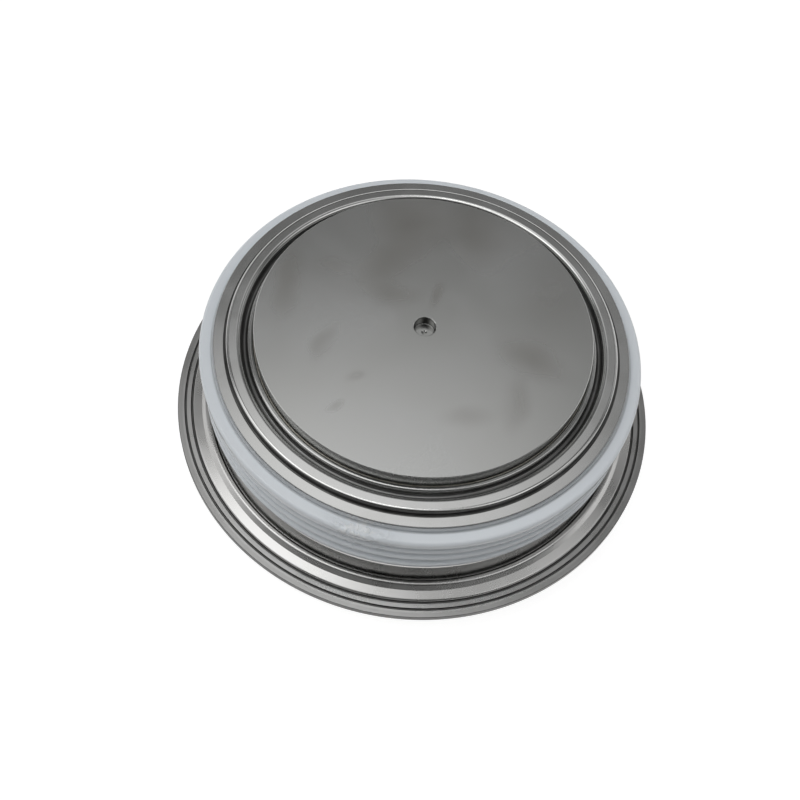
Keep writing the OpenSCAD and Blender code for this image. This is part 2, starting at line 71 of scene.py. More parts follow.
def supported(outline, closed=True, margin=0.05):
    """The outline with two more points on each long side, a margin from its ends, so that the
    smooth shading of a rounded edge doesn't spread over the flat beside it."""
    start = outline if closed else outline[:-1]
    end = np.roll(outline, -1, 0) if closed else outline[1:]
    length = np.linalg.norm(end - start, axis=1)[:, None]
    ahead = (end - start) / np.maximum(length, 1e-9) * margin
    rows = np.stack([start, start + ahead, end - ahead], 1)
    keep = np.stack([np.ones(len(start), bool), *[length[:, 0] > 4 * margin] * 2], 1)
    rows = rows[keep]
    return rows if closed else np.concatenate([rows, outline[-1:]])


def mesh_piece(name, points, faces):
    """A mesh object from an array of points in metres and a list of arrays of faces."""
    loops = np.concatenate([f.ravel() for f in faces]).astype(np.int32)
    sides = np.concatenate([np.full(len(f), f.shape[1]) for f in faces])
    first = np.concatenate([[0], np.cumsum(sides)[:-1]]).astype(np.int32)
    mesh = bpy.data.meshes.new(name)
    mesh.vertices.add(len(points))
    mesh.vertices.foreach_set("co", points.astype(np.float32).ravel())
    mesh.loops.add(len(loops))
    mesh.loops.foreach_set("vertex_index", loops)
    mesh.polygons.add(len(sides))
    mesh.polygons.foreach_set("loop_start", first)
    mesh.update(calc_edges=True)
    mesh.validate()
    mesh.shade_smooth()
    mesh.set_sharp_from_angle(angle=SHARP_EDGE)
    piece = bpy.data.objects.new(name, mesh)
    bpy.context.scene.collection.objects.link(piece)
    return piece


def turned(name, outline, turns=360, along="z", height=0.0):
    """Surface of revolution. The outline's point (r, h) at angle a lies at (r cos a, r sin a, h),
    or at (r cos a, h, height - r sin a) for a piece turned along +Y. An outline that starts and
    ends on the axis is closed there by one point at each end, any other closes on itself. One
    that runs clockwise has a negative area, and its faces are turned to point outwards."""
    solid = outline[0, 0] == 0 and outline[-1, 0] == 0
    ring = outline[1:-1] if solid else outline
    angle = np.linspace(0, 2 * np.pi, turns, endpoint=False)
    r, h = ring[:, 0, None], ring[:, 1, None] + 0 * angle
    points = np.stack([r * np.cos(angle), r * np.sin(angle), h], -1).reshape(-1, 3)
    rows, columns = len(ring), np.arange(turns)
    steps = np.arange(rows - 1 if solid else rows)[:, None]
    low, high = steps * turns, (steps + 1) % rows * turns
    after = (columns + 1) % turns
    quads = np.stack([low + columns, low + after, high + after, high + columns], -1).reshape(-1, 4)
    faces = [quads]
    if solid:
        ends = np.array([[0, 0, outline[0, 1]], [0, 0, outline[-1, 1]]])
        points = np.concatenate([points, ends])
        first, last, top = rows * turns, rows * turns + 1, (rows - 1) * turns
        faces.append(np.stack([0 * columns + first, after, columns], -1))
        faces.append(np.stack([0 * columns + last, top + columns, top + after], -1))
    ahead = np.roll(outline, -1, 0)
    doubled_area = np.sum(outline[:, 0] * ahead[:, 1] - ahead[:, 0] * outline[:, 1])
    if doubled_area < 0:
        faces = [f[:, ::-1] for f in faces]
    if along == "y":
        points = np.stack([points[:, 0], points[:, 2], height - points[:, 1]], -1)
    return mesh_piece(name, points * MM, faces)


def box_piece(name, low, high):
    """A box between two corners in millimetres, used to cut a slot or a flat."""
    corner = np.array([[i, j, k] for k in (0, 1) for j in (0, 1) for i in (0, 1)])
    points = np.where(corner, high, low) * MM
    faces = np.array([[0, 2, 3, 1], [4, 5, 7, 6], [0, 1, 5, 4], [2, 6, 7, 3], [0, 4, 6, 2], [1, 3, 7, 5]])
    return mesh_piece(name, points, [faces])


def cut(piece, *tools):
    """The piece with the tools' shapes taken away. The tools are thrown away afterwards."""
    for tool in tools:
        change = piece.modifiers.new("cut", "BOOLEAN")
        change.operation, change.object, change.solver = "DIFFERENCE", tool, "EXACT"
    bpy.context.view_layer.update()
    seen = piece.evaluated_get(bpy.context.evaluated_depsgraph_get())
    shape = bpy.data.meshes.new_from_object(seen)
    piece.modifiers.clear()
    piece.data = shape
    shape.set_sharp_from_angle(angle=SHARP_EDGE)
    for tool in tools:
        bpy.data.objects.remove(tool)
    return piece


def put(tree, kind, sockets=(), **settings):
    """A new node of that kind, with its settings, and each socket given a value or a link."""
    made = tree.nodes.new(kind)
    for key, value in settings.items():
        setattr(made, key, value)
    for key, value in dict(sockets).items():
        if isinstance(value, bpy.types.NodeSocket):
            tree.links.new(value, made.inputs[key])
        else:
            made.inputs[key].default_value = value
    return made


def arithmetic(tree, kind, *values):
    """The result of a Math node of that kind on numbers or links."""
    return put(tree, "ShaderNodeMath", dict(enumerate(values)), operation=kind).outputs[0]


def fade(tree, value, start, end, full=1.0):
    """0 at the start value, full at the end value and beyond, smooth between."""
    return put(tree, "ShaderNodeMapRange", {
        "Value": value, "From Min": start, "From Max": end, "To Max": full},
        interpolation_type="SMOOTHSTEP").outputs[0]


def noise(tree, place, scale, detail, **more):
    """Noise from 0 to 1 with that many cells to the metre."""
    return put(tree, "ShaderNodeTexNoise", {"Vector": place, "Scale": scale, "Detail": detail, **more}).outputs[0]


def covered(tree, share, under, over):
    """The colour under, covered to a share from 0 to 1 by the colour over."""
    return put(tree, "ShaderNodeMix", {0: share, 6: under, 7: over}, data_type="RGBA").outputs[2]


def from_axis(tree, place):
    """Distance from the part's axis: the length of the place with its height left out."""
    flat = put(tree, "ShaderNodeVectorMath", {0: place, 1: (1, 1, 0)}, operation="MULTIPLY").outputs[0]
    return put(tree, "ShaderNodeVectorMath", {0: flat}, operation="LENGTH").outputs["Value"]


def group_of(name, inputs, outputs):
    """An empty shader group with named inputs and outputs, and its two end nodes."""
    kinds = {"value": "NodeSocketFloat", "colour": "NodeSocketColor", "vector": "NodeSocketVector"}
    tree = bpy.data.node_groups.new(name, "ShaderNodeTree")
    for side, sockets in (("INPUT", inputs), ("OUTPUT", outputs)):
        for label, kind in sockets.items():
            tree.interface.new_socket(label, in_out=side, socket_type=kinds[kind])
    return tree, put(tree, "NodeGroupInput").outputs, put(tree, "NodeGroupOutput").inputs


def plated_group():
    """Satin metal. Soft clouds move the colour from dark to light and the roughness from smooth
    to rough. Grain is fine noise. Rings are noise of the distance from the axis and the height
    alone, as turning, drawing and lapping leave. Both raise the surface by their depths."""
    tree, given, out = group_of(
        "satin metal",
        {"Vector": "vector", "Light": "colour", "Dark": "colour", "Clouds": "value", "Smooth": "value",
         "Rough": "value", "Grain": "value", "Grain depth": "value", "Rings": "value", "Ring depth": "value"},
        {"Color": "colour", "Roughness": "value", "Normal": "vector"},
    )
    clouds = noise(tree, given["Vector"], given["Clouds"], 3.0, Roughness=0.45, Distortion=0.4)
    spread = fade(tree, clouds, 0.36, 0.66)
    grain = noise(tree, given["Vector"], given["Grain"], 4.0, Roughness=0.6)
    height = put(tree, "ShaderNodeSeparateXYZ", {0: given["Vector"]}).outputs[2]
    across = put(tree, "ShaderNodeCombineXYZ", {0: from_axis(tree, given["Vector"]), 1: height})
    rings = noise(tree, across.outputs[0], given["Rings"], 3.0, Roughness=0.7)
    uneven = arithmetic(tree, "MULTIPLY", arithmetic(tree, "ADD", spread, grain), 0.5)
    rough = put(tree, "ShaderNodeMix", {0: uneven, 2: given["Smooth"], 3: given["Rough"]})
    fine = put(tree, "ShaderNodeBump", {"Strength": 1.0, "Distance": given["Grain depth"], "Height": grain})
    raised = put(tree, "ShaderNodeBump", {
        "Strength": 1.0, "Distance": given["Ring depth"], "Height": rings, "Normal": fine.outputs[0]})
    tree.links.new(covered(tree, spread, given["Dark"], given["Light"]), out["Color"])
    tree.links.new(rough.outputs[0], out["Roughness"])
    tree.links.new(raised.outputs[0], out["Normal"])
    return tree


satin_metal = plated_group()


def painted_shade_group():
    """Painted shade in a groove. Between an inside and an outside radius from the axis the
    colour falls by an amount towards near black, as shade, and the roughness rises, with a fade
    on both sides. Noise makes the ring uneven."""
    tree, given, out = group_of(
        "painted shade ring",
        {"Vector": "vector", "Color": "colour", "Roughness": "value", "Inside": "value", "Outside": "value",
         "Fade": "value", "Amount": "value"},
        {"Color": "colour", "Roughness": "value"},
    )
    radius = from_axis(tree, given["Vector"])
    begin = arithmetic(tree, "SUBTRACT", given["Inside"], given["Fade"])
    end = arithmetic(tree, "ADD", given["Outside"], given["Fade"])
    rise, fall = fade(tree, radius, begin, given["Inside"]), fade(tree, radius, end, given["Outside"])
    ring = arithmetic(tree, "MULTIPLY", rise, fall)
    uneven = put(tree, "ShaderNodeMapRange", {
        "Value": noise(tree, given["Vector"], 240.0, 2.0), "From Min": 0.3, "From Max": 0.7,
        "To Min": 0.9, "To Max": 1.0}).outputs[0]
    share = arithmetic(tree, "MULTIPLY", arithmetic(tree, "MULTIPLY", ring, uneven), given["Amount"])
    rough = arithmetic(tree, "MULTIPLY_ADD", share, 0.15, given["Roughness"])
    # The painted shade: the colour goes towards near black over the ring's share.
    tree.links.new(covered(tree, share, given["Color"], (0.012, 0.012, 0.011, 1)), out["Color"])
    tree.links.new(rough, out["Roughness"])
    return tree


painted_shade_ring = painted_shade_group()


def paint_shade_rings(material, rings):
    """Adds rings of painted shade to a material. Each is (inside radius, outside radius, fade
    width, amount), with the lengths in millimetres."""
    tree = material.node_tree
    shader = next(n for n in tree.nodes if n.type == "BSDF_PRINCIPLED")
    place = next(n for n in tree.nodes if n.type == "TEX_COORD").outputs["Object"]
    for inside, outside, soft, amount in rings:
        ring = put(tree, "ShaderNodeGroup", node_tree=painted_shade_ring)
        tree.links.new(place, ring.inputs["Vector"])
        tree.links.new(shader.inputs["Base Color"].links[0].from_socket, ring.inputs["Color"])
        tree.links.new(shader.inputs["Roughness"].links[0].from_socket, ring.inputs["Roughness"])
        for key, value in (("Inside", inside), ("Outside", outside), ("Fade", soft)):
            ring.inputs[key].default_value = value * MM
        ring.inputs["Amount"].default_value = amount
        tree.links.new(ring.outputs["Color"], shader.inputs["Base Color"])
        tree.links.new(ring.outputs["Roughness"], shader.inputs["Roughness"])
    return material


def finish(name, group, values, **sockets):
    """A material: the group's outputs feed the Principled BSDF's sockets of the same names, and
    the other words are constants on the shader's own sockets."""
    material = bpy.data.materials.new(name)
    material.use_nodes = True
    tree = material.node_tree
    tree.nodes.clear()
    shader = put(tree, "ShaderNodeBsdfPrincipled", {k.replace("_", " "): v for k, v in sockets.items()})
    put(tree, "ShaderNodeOutputMaterial", {"Surface": shader.outputs[0]})
    place = put(tree, "ShaderNodeTexCoord").outputs["Object"]
    layer = put(tree, "ShaderNodeGroup", node_tree=group)
    tree.links.new(place, layer.inputs["Vector"])
    for key, value in values.items():
        layer.inputs[key].default_value = value
    for output in layer.outputs:
        tree.links.new(output, shader.inputs["Base Color" if output.name == "Color" else output.name])
    return material


def dress(piece, material):
    """Puts the material on every slot of a piece or of a CAD node."""
    if not piece.data.materials:
        piece.data.materials.append(material)
    for i in range(len(piece.data.materials)):
        piece.data.materials[i] = material


def stand_for(piece, node, material):
    """The piece gets its material, rides on the part's one body and takes the CAD node's place."""
    dress(piece, material)
    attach(piece, "root")
    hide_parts(node)


POLE_R, CASE_H, FACE_BEVEL = 27.0, 26.0, 0.1
BOSS_R, BOSS_H = 25.0, 2.0
UPPER_POLE_Z, LOWER_POLE_H = 13.0, 9.4
HOLE_R, HOLE_DEPTH, HOLE_BEVEL = 1.75, 1.6, 0.12
DRILL_R, DRILL_DEPTH = 0.45, 0.35
HOLE_NEAR_R, HOLE_WALL_Z, HOLE_WALL_HALF = 2.5, 25.17, 0.76
GATE_BORE_R, GATE_BORE_TOP, SLOT_HALF, SLOT_TOP, SLOT_END_Y = 3.5, 19.6, 1.1, 15.9, 30.0
CUT_PAST = 0.5


def pole_outline(height):
    """Outline of a pole from the axis at its clamping face, h = 0, to the axis at its inner end:
    drill point, floor and wall of the centring hole, face, bevel, wall, shoulder and boss."""
    return supported(filleted([
        (0, HOLE_DEPTH + DRILL_DEPTH, 0), (DRILL_R, HOLE_DEPTH, 0.03), (HOLE_R, HOLE_DEPTH, 0.12),
        (HOLE_R, HOLE_BEVEL, 0.03), (HOLE_R + HOLE_BEVEL, 0, 0.05),
        (POLE_R - FACE_BEVEL, 0, 0.05), (POLE_R, FACE_BEVEL, 0.05), (POLE_R, height - BOSS_H, 0.06),
        (BOSS_R, height - BOSS_H, 0.1), (BOSS_R, height - FACE_BEVEL, 0.05),
        (BOSS_R - FACE_BEVEL, height, 0.05), (0, height, 0)], closed=False), closed=False)


def marks_and_painted_shade(material, marks):
    """Adds dark marks to a material: handling marks and broad patches of painted shade. Each mark is
    (x, y, half length, half width, angle, darkness). The noise-warped place, moved, turned and scaled
    to the mark, has length 1 at its rim: the mark fades from its middle to just outside it. The wall
    of the centring hole, near the axis and within half its height of its middle, is darker."""
    tree = material.node_tree
    shader = next(n for n in tree.nodes if n.type == "BSDF_PRINCIPLED")
    place = next(n for n in tree.nodes if n.type == "TEX_COORD").outputs["Object"]
    layer = next(n for n in tree.nodes if n.type == "GROUP")
    waves = put(tree, "ShaderNodeTexNoise", {"Vector": place, "Scale": 90.0, "Detail": 2.0})
    middle = put(tree, "ShaderNodeVectorMath", {
        0: waves.outputs["Color"], 1: (0.5, 0.5, 0.5)}, operation="SUBTRACT")
    shift = put(tree, "ShaderNodeVectorMath", {0: middle.outputs[0], 1: (0.005, 0.005, 0)}, operation="MULTIPLY")
    moved = put(tree, "ShaderNodeVectorMath", {0: place, 1: shift.outputs[0]}, operation="ADD").outputs[0]
    total = 0.0
    for x, y, long, wide, angle, darkness in marks:
        own = put(tree, "ShaderNodeMapping", {
            "Vector": moved, "Location": (x * MM, y * MM, CASE_H * MM), "Rotation": (0, 0, radians(angle)),
            "Scale": (long * MM, wide * MM, 1.0)}, vector_type="TEXTURE")
        away = put(tree, "ShaderNodeVectorMath", {0: own.outputs[0]}, operation="LENGTH").outputs["Value"]
        total = arithmetic(tree, "ADD", total, fade(tree, away, 1.15, 0.0, darkness))
    marked_and_shaded = covered(tree, total, layer.outputs["Color"], (0.30, 0.29, 0.27, 1))
    height = put(tree, "ShaderNodeSeparateXYZ", {0: place}).outputs[2]
    in_hole = arithmetic(tree, "LESS_THAN", from_axis(tree, place), HOLE_NEAR_R * MM)
    on_wall = arithmetic(tree, "COMPARE", height, HOLE_WALL_Z * MM, HOLE_WALL_HALF * MM)
    wall = arithmetic(tree, "MULTIPLY", in_hole, on_wall)
    duller = arithmetic(tree, "MULTIPLY_ADD", total, 0.12, layer.outputs["Roughness"])
    tree.links.new(covered(tree, wall, marked_and_shaded, (0.14, 0.14, 0.135, 1)), shader.inputs["Base Color"])
    tree.links.new(duller, shader.inputs["Roughness"])
    return material


NICKEL = {"Light": (0.525, 0.53, 0.522, 1), "Dark": (0.49, 0.494, 0.482, 1), "Clouds": 60.0,
          "Smooth": 0.22, "Rough": 0.29, "Grain": 9000.0, "Grain depth": 2.5e-7,
          "Rings": 2600.0, "Ring depth": 1.0e-7}
lapped_nickel = marks_and_painted_shade(finish("lapped_nickel_on_copper", satin_metal, NICKEL, Metallic=1.0), [
    (-5.3, 20.0, 9.5, 7.5, 80, 0.55), (-8.0, 11.0, 8.0, 5.5, 60, 0.5), (-6.0, 5.5, 5.5, 3.0, 10, 0.42),
    (0.8, 6.3, 4.0, 1.3, 80, 0.5), (6.0, 19.5, 9.0, 5.5, 100, 0.45), (-23.0, 5.0, 9.0, 2.8, 96, 0.5),
    (-15.2, -5.7, 3.8, 1.5, 75, 0.32), (17.5, -3.5, 7.5, 4.5, -25, 0.5), (15.5, -11.5, 7.0, 2.6, 92, 0.3),
    (8.5, -15.5, 5.5, 2.6, 20, 0.22), (-9.2, -11.5, 2.2, 1.4, 20, 0.25), (-11.2, -17.0, 2.0, 1.0, 70, 0.25),
    # The last two marks, broad ones over the right third and the back of the face, are painted shade.
    (-17.0, 9.5, 5.0, 2.6, 10, 0.25), (20.0, 8.0, 14.0, 9.0, 80, 0.25), (2.0, 23.0, 18.0, 7.0, 0, 0.25)])

upper = pole_outline(CASE_H - UPPER_POLE_Z)
upper[:, 1] = CASE_H - upper[:, 1]
below = UPPER_POLE_Z - CUT_PAST
bore = np.array([[0, below], [GATE_BORE_R, below], [GATE_BORE_R, GATE_BORE_TOP], [0, GATE_BORE_TOP]])
upper_pole = cut(
    turned("upper_pole", upper),
    turned("gate_bore", bore, 96),
    box_piece("lead_slot", (-SLOT_HALF, 0, below), (SLOT_HALF, SLOT_END_Y, SLOT_TOP)))
stand_for(upper_pole, "cathode_pole", lapped_nickel)

# Upper diaphragm: thin iron-nickel sheet, drawn in a press and nickel plated. From the pole
# outwards it has a brazed lip, a bead, a deep groove, a raised ring and a flat outer land.


def sheet_sides(path, thickness, edge=0.06):
    """Corners of the left and of the right side of a bent sheet. Each corner (r, z, bend radius)
    of its middle line gives one corner half a thickness to either side, on the mitre of its two
    sides. Its rounding is the bend radius, less that offset on the inside of the bend and more
    on the outside."""
    path = np.asarray(path, float)
    spots = path[:, :2]
    ahead = np.diff(spots, axis=0)
    ahead /= np.linalg.norm(ahead, axis=1)[:, None]
    left = np.stack([-ahead[:, 1], ahead[:, 0]], 1)
    before, after = np.vstack([left[:1], left]), np.vstack([left, left[-1:]])
    mitre = (before + after) / (1 + np.sum(before * after, 1))[:, None]
    hand = np.sign(before[:, 0] * after[:, 1] - before[:, 1] * after[:, 0])
    sides = []
    for offset in (thickness / 2, -thickness / 2):
        rounding = path[:, 2] - hand * offset
        rounding[[0, -1]] = edge
        sides.append(np.column_stack([spots + offset * mitre, np.maximum(rounding, 0.02)]))
    return sides


def sheet_outline(left, right):
    """Closed outline that runs out along the left side and back along the right side."""
    return supported(filleted(np.vstack([left, right[::-1]])))


pressed_nickel = finish(
    "pressed_nickel_sheet", satin_metal,
    {"Light": (0.57, 0.572, 0.565, 1), "Dark": (0.52, 0.522, 0.512, 1), "Clouds": 140.0,
     "Smooth": 0.16, "Rough": 0.22, "Grain": 7000.0, "Grain depth": 2.0e-7,
     "Rings": 3200.0, "Ring depth": 1.5e-7},
    Metallic=1.0)
# Painted shade: dark rings in the gap round the pole, over the bead, in the groove, down the step and at the
# land's edge.
paint_shade_rings(pressed_nickel, [
    (26.9, 27.2, 0.1, 0.6), (27.3, 28.1, 0.2, 0.25),  # round the pole, over the bead
    (28.25, 28.85, 0.25, 0.75), (31.42, 31.86, 0.08, 0.93),  # groove, step down to the land
    (33.45, 33.6, 0.12, 0.5)])  # land's edge

DIAPHRAGM_T = 0.4
# Pieces with many bends take fewer turns than others, which keeps each under 200,000 triangles.
SHEET_TURNS = 288
upper_diaphragm = turned("upper_diaphragm", sheet_outline(*sheet_sides([
    (27.3, 22.3, 0), (27.3, 23.5, 0.3), (27.9, 23.5, 0.3),  # lip and bead
    (27.9, 22.3, 0.65), (29.2, 22.3, 0.65),  # groove
    (29.2, 23.65, 0.65), (31.35, 23.65, 0.45),  # raised ring
    (31.35, 22.7, 0.5), (33.45, 22.7, 0)], DIAPHRAGM_T)), SHEET_TURNS)  # outer land
stand_for(upper_diaphragm, "cathode_diaphragm", pressed_nickel)

# Ceramic ring: white alumina, turned with a wide top shed and shallow ones under it, glazed
# outside and fired. A flat is ground through the lower sheds where the gate tube comes out.
END_R, BORE_R, TOP_SHED_R, SHED_R = 33.75, 30.2, 35.8, 35.5
CERAMIC_LOW, CERAMIC_TOP = 12.0, 22.4
EDGE_R, VALLEY_R, VALLEY_DEPTH = 0.9, 0.4, 0.6
TOP_EDGE_R, TOP_FACE_H = 0.6, 0.6
TOP_COLLAR_H, FOOT_COLLAR_H, FILLET_R, END_BEVEL, BORE_BEVEL = 0.5, 0.3, 0.15, 0.12, 0.15


def arc(centre, radius, start, end, step=6.0):
    """Points of an arc round a centre between two angles in degrees."""
    angle = np.radians(np.linspace(start, end, max(2, ceil(abs(end - start) / step) + 1)))
    return np.asarray(centre) + radius * np.stack([np.cos(angle), np.sin(angle)], 1)


def ceramic_outline():
    """Top face, collar, fillet, top shed, then touching arcs for each valley and shed down to the
    lower collar. Two touching arcs whose centres lie apart sideways by reach lie apart in height
    by the root of the radii's sum squared less reach squared."""
    touch = EDGE_R + VALLEY_R
    shed_top = CERAMIC_TOP - TOP_COLLAR_H - FILLET_R
    valley_x, shed_x, top_x = SHED_R - VALLEY_DEPTH + VALLEY_R, SHED_R - EDGE_R, TOP_SHED_R - EDGE_R
    foot_x, foot_z = END_R + VALLEY_R, CERAMIC_LOW + FOOT_COLLAR_H
    valley_drop = (touch ** 2 - (shed_x - valley_x) ** 2) ** 0.5
    foot_drop = (touch ** 2 - (shed_x - foot_x) ** 2) ** 0.5
    top_drop = (touch ** 2 - (top_x - valley_x) ** 2) ** 0.5
    top_face_z = shed_top - TOP_EDGE_R - TOP_FACE_H
    sheds_h = top_face_z - top_drop - foot_z - foot_drop + valley_drop
    count = int(sheds_h // (2 * valley_drop))
    face_h = sheds_h / count - 2 * valley_drop
    turn = degrees(atan2(valley_drop, valley_x - shed_x))
    foot_turn = degrees(atan2(foot_drop, foot_x - shed_x))
    top_turn = degrees(atan2(top_drop, valley_x - top_x))
    rows = [
        [(BORE_R + BORE_BEVEL, CERAMIC_TOP), (END_R - END_BEVEL, CERAMIC_TOP), (END_R, CERAMIC_TOP - END_BEVEL)],
        arc((END_R + FILLET_R, CERAMIC_TOP - TOP_COLLAR_H), FILLET_R, 180, 270, 15),
        arc((TOP_SHED_R - TOP_EDGE_R, shed_top - TOP_EDGE_R), TOP_EDGE_R, 90, 0),
        arc((top_x, top_face_z), EDGE_R, 0, -top_turn)]
    for i in range(count):
        z = top_face_z - top_drop - i * sheds_h / count
        rows.append(arc((valley_x, z), VALLEY_R, 180 - (turn if i else top_turn), 180 + turn))
        rows.append(arc((shed_x, z - valley_drop), EDGE_R, turn, 0))
        below = foot_turn if i == count - 1 else turn
        rows.append(arc((shed_x, z - valley_drop - face_h), EDGE_R, 0, -below))
    rows.append(arc((foot_x, foot_z), VALLEY_R, 180 - foot_turn, 180))
    rows.append([
        (END_R, CERAMIC_LOW + END_BEVEL), (END_R - END_BEVEL, CERAMIC_LOW), (BORE_R + BORE_BEVEL, CERAMIC_LOW),
        (BORE_R, CERAMIC_LOW + BORE_BEVEL), (BORE_R, CERAMIC_TOP - BORE_BEVEL)])
    points = np.vstack(rows)
    apart = np.linalg.norm(points - np.roll(points, 1, 0), axis=1) > 1e-4
    return supported(points[apart])


def glaze_group():
    """Fired glaze. Slow noise moves the colour a little between two whites, and slow waves bend
    the surface. Round one place, out to a reach, the glaze ran and set in sharp ripples, whose crests
    carry painted glints in white that fade with the distance. Rare dark specks are pinholes left by firing."""
    tree, given, out = group_of(
        "fired glaze",
        {"Vector": "vector", "White": "colour", "Shade": "colour", "Speck": "colour", "Waves": "value",
         "Wave depth": "value", "Run centre": "vector", "Run reach": "value", "Ripple depth": "value"},
        {"Color": "colour", "Roughness": "value", "Normal": "vector"},
    )
    cloud = noise(tree, given["Vector"], 120.0, 3.0)
    body = covered(tree, cloud, given["White"], given["Shade"])
    dots = put(tree, "ShaderNodeTexVoronoi", {"Vector": given["Vector"], "Scale": 420.0, "Randomness": 1.0})
    chosen = arithmetic(tree, "GREATER_THAN", noise(tree, given["Vector"], 330.0, 0.0), 0.66)
    small = arithmetic(tree, "LESS_THAN", dots.outputs["Distance"], 0.05)
    colour = covered(tree, arithmetic(tree, "MULTIPLY", chosen, small), body, given["Speck"])
    rough = put(tree, "ShaderNodeMapRange", {"Value": cloud, "To Min": 0.04, "To Max": 0.10})
    waves = noise(tree, given["Vector"], given["Waves"], 2.0)
    bump = put(tree, "ShaderNodeBump", {"Strength": 1.0, "Distance": given["Wave depth"], "Height": waves})
    away = put(tree, "ShaderNodeVectorMath", {0: given["Vector"], 1: given["Run centre"]}, operation="DISTANCE")
    patch = fade(tree, away.outputs["Value"], given["Run reach"], 0.0)
    ripple = arithmetic(tree, "MULTIPLY", noise(tree, given["Vector"], 1300.0, 2.0, Distortion=0.6), patch)
    ripples = put(tree, "ShaderNodeBump", {
        "Strength": 1.0, "Distance": given["Ripple depth"], "Height": ripple, "Normal": bump.outputs[0]})
    # Painted glints: the ripples' crests turn white in the colour.
    painted_glint = fade(tree, ripple, 0.43, 0.47)
    tree.links.new(covered(tree, painted_glint, colour, (0.95, 0.98, 1, 1)), out["Color"])
    tree.links.new(rough.outputs[0], out["Roughness"])
    tree.links.new(ripples.outputs[0], out["Normal"])
    return tree


glazed_alumina = finish(
    "glazed_white_alumina", glaze_group(),
    {"White": (0.89, 0.935, 0.975, 1), "Shade": (0.86, 0.91, 0.955, 1), "Speck": (0.45, 0.42, 0.38, 1),
     "Waves": 700.0, "Wave depth": 1.0e-5, "Run centre": (-0.0052, -0.0345, 0.0215), "Run reach": 0.0085,
     "Ripple depth": 5.0e-4},
    IOR=1.55)
# Painted shade: a grey ring on the collar and its fillet, next to the land's edge.
paint_shade_rings(glazed_alumina, [(33.6, 33.8, 0.35, 0.4)])

FLAT_Y, FLAT_HALF, FLAT_TOP = 34.6, 2.5, 19.37
LEAD_Z, TUBE_R, HOLE_START_Y, HOLE_END_Y = 14.8, 1.2, 20.0, 38.0
hole = np.array([[0, HOLE_START_Y], [TUBE_R, HOLE_START_Y], [TUBE_R, HOLE_END_Y], [0, HOLE_END_Y]])
ceramic = cut(
    turned("alumina_ring", ceramic_outline(), SHEET_TURNS),
    box_piece("gate_flat", (-FLAT_HALF, FLAT_Y, CERAMIC_LOW - CUT_PAST), (FLAT_HALF, HOLE_END_Y, FLAT_TOP)),
    turned("tube_hole", hole, 64, "y", LEAD_Z))
stand_for(ceramic, "ceramic_ring", glazed_alumina)

# Weld flange: iron-nickel sheet brazed under the ceramic. Below its neck it has a crease and a
# ridge that let it flex, a sloping skirt, and a flat rim with the two rings the weld tool pressed.
drawn_nickel = finish(
    "drawn_nickel_flange", satin_metal,
    {"Light": (0.55, 0.547, 0.54, 1), "Dark": (0.50, 0.498, 0.488, 1), "Clouds": 120.0,
     "Smooth": 0.24, "Rough": 0.32, "Grain": 7000.0, "Grain depth": 2.0e-7,
     "Rings": 3000.0, "Ring depth": 1.5e-7},
    Metallic=1.0)
# Painted shade: dark rings in the crease under the neck and in the two pressed rings. The outer land and its cut
# edge are darker too, painted shade with a duller weld edge.
paint_shade_rings(drawn_nickel, [
    (34.98, 35.25, 0.1, 0.95),  # crease under the neck
    (38.2, 38.45, 0.12, 0.82), (39.29, 39.54, 0.12, 0.82),  # pressed rings
    (40.1, 41.0, 0.3, 0.18), (40.66, 41.0, 0.05, 0.75)])  # outer land and its cut edge

RIM_R, RIM_Z, RIM_SHEET_T = 40.73, 5.56, 0.62
PRESS_RADII, PRESS_DEPTH, PRESS_W, PRESS_SLOPE = (38.13, 39.22), 0.28, 0.4, 0.1
RIM_FALL = 3.6


def flange_outline():
    """The bent sheet's outline, with the two pressed rings let into its upper side. The tool
    also thinned the rim outwards, so that its upper side falls by a small angle."""
    upper_side, lower_side = sheet_sides([
        (30.3, 11.59, 0), (34.49, 11.59, 0.6),  # seat under the ceramic
        (34.49, 6.18, 0.35), (35.23, 6.18, 0.35),  # neck and crease
        (35.23, 6.9, 0.35), (35.73, 6.9, 0.35), (36.43, 6.16, 0.35),  # ridge
        (37.93, 5.71, 0.2), (PRESS_RADII[0], RIM_Z, 0.2),  # skirt
        (RIM_R, RIM_Z, 0)], RIM_SHEET_T)
    top = upper_side[-1, 1]
    press = ((0, 0), (PRESS_SLOPE, PRESS_DEPTH), (PRESS_W - PRESS_SLOPE, PRESS_DEPTH), (PRESS_W, 0))
    marks = np.array([(r + step, top - depth, 0.05) for r in PRESS_RADII for step, depth in press])
    rim = np.vstack([marks[1:], upper_side[-1:]])
    rim[:, 1] -= (rim[:, 0] - marks[0, 0]) * tan(radians(RIM_FALL))
    return sheet_outline(np.vstack([upper_side[:-2], rim]), lower_side)


stand_for(turned("lower_flange", flange_outline(), SHEET_TURNS), "weld_flange", drawn_nickel)

# Lower cover and lower pole: the cover is a second drawn sheet, brazed to the pole and welded
# rim to rim with the flange. The pole is a turned copper slug like the upper one, but solid.
COVER_Z = RIM_Z - RIM_SHEET_T
lower_cover = turned("lower_cover", sheet_outline(*sheet_sides([
    (27.41, 6.05, 0), (27.41, 3.91, 0.5), (28.41, 3.91, 0.5),  # lip on the pole
    (28.41, 5.74, 0.5), (29.91, 5.74, 0.35),  # ridge
    (29.91, COVER_Z, 0.35), (RIM_R, COVER_Z, 0)], RIM_SHEET_T)), SHEET_TURNS)  # rim
stand_for(lower_cover, "anode_cover", drawn_nickel)

plain_nickel = finish("satin_nickel_on_copper", satin_metal, NICKEL, Metallic=1.0)
stand_for(turned("lower_pole", pole_outline(LOWER_POLE_H)), "anode_pole", plain_nickel)

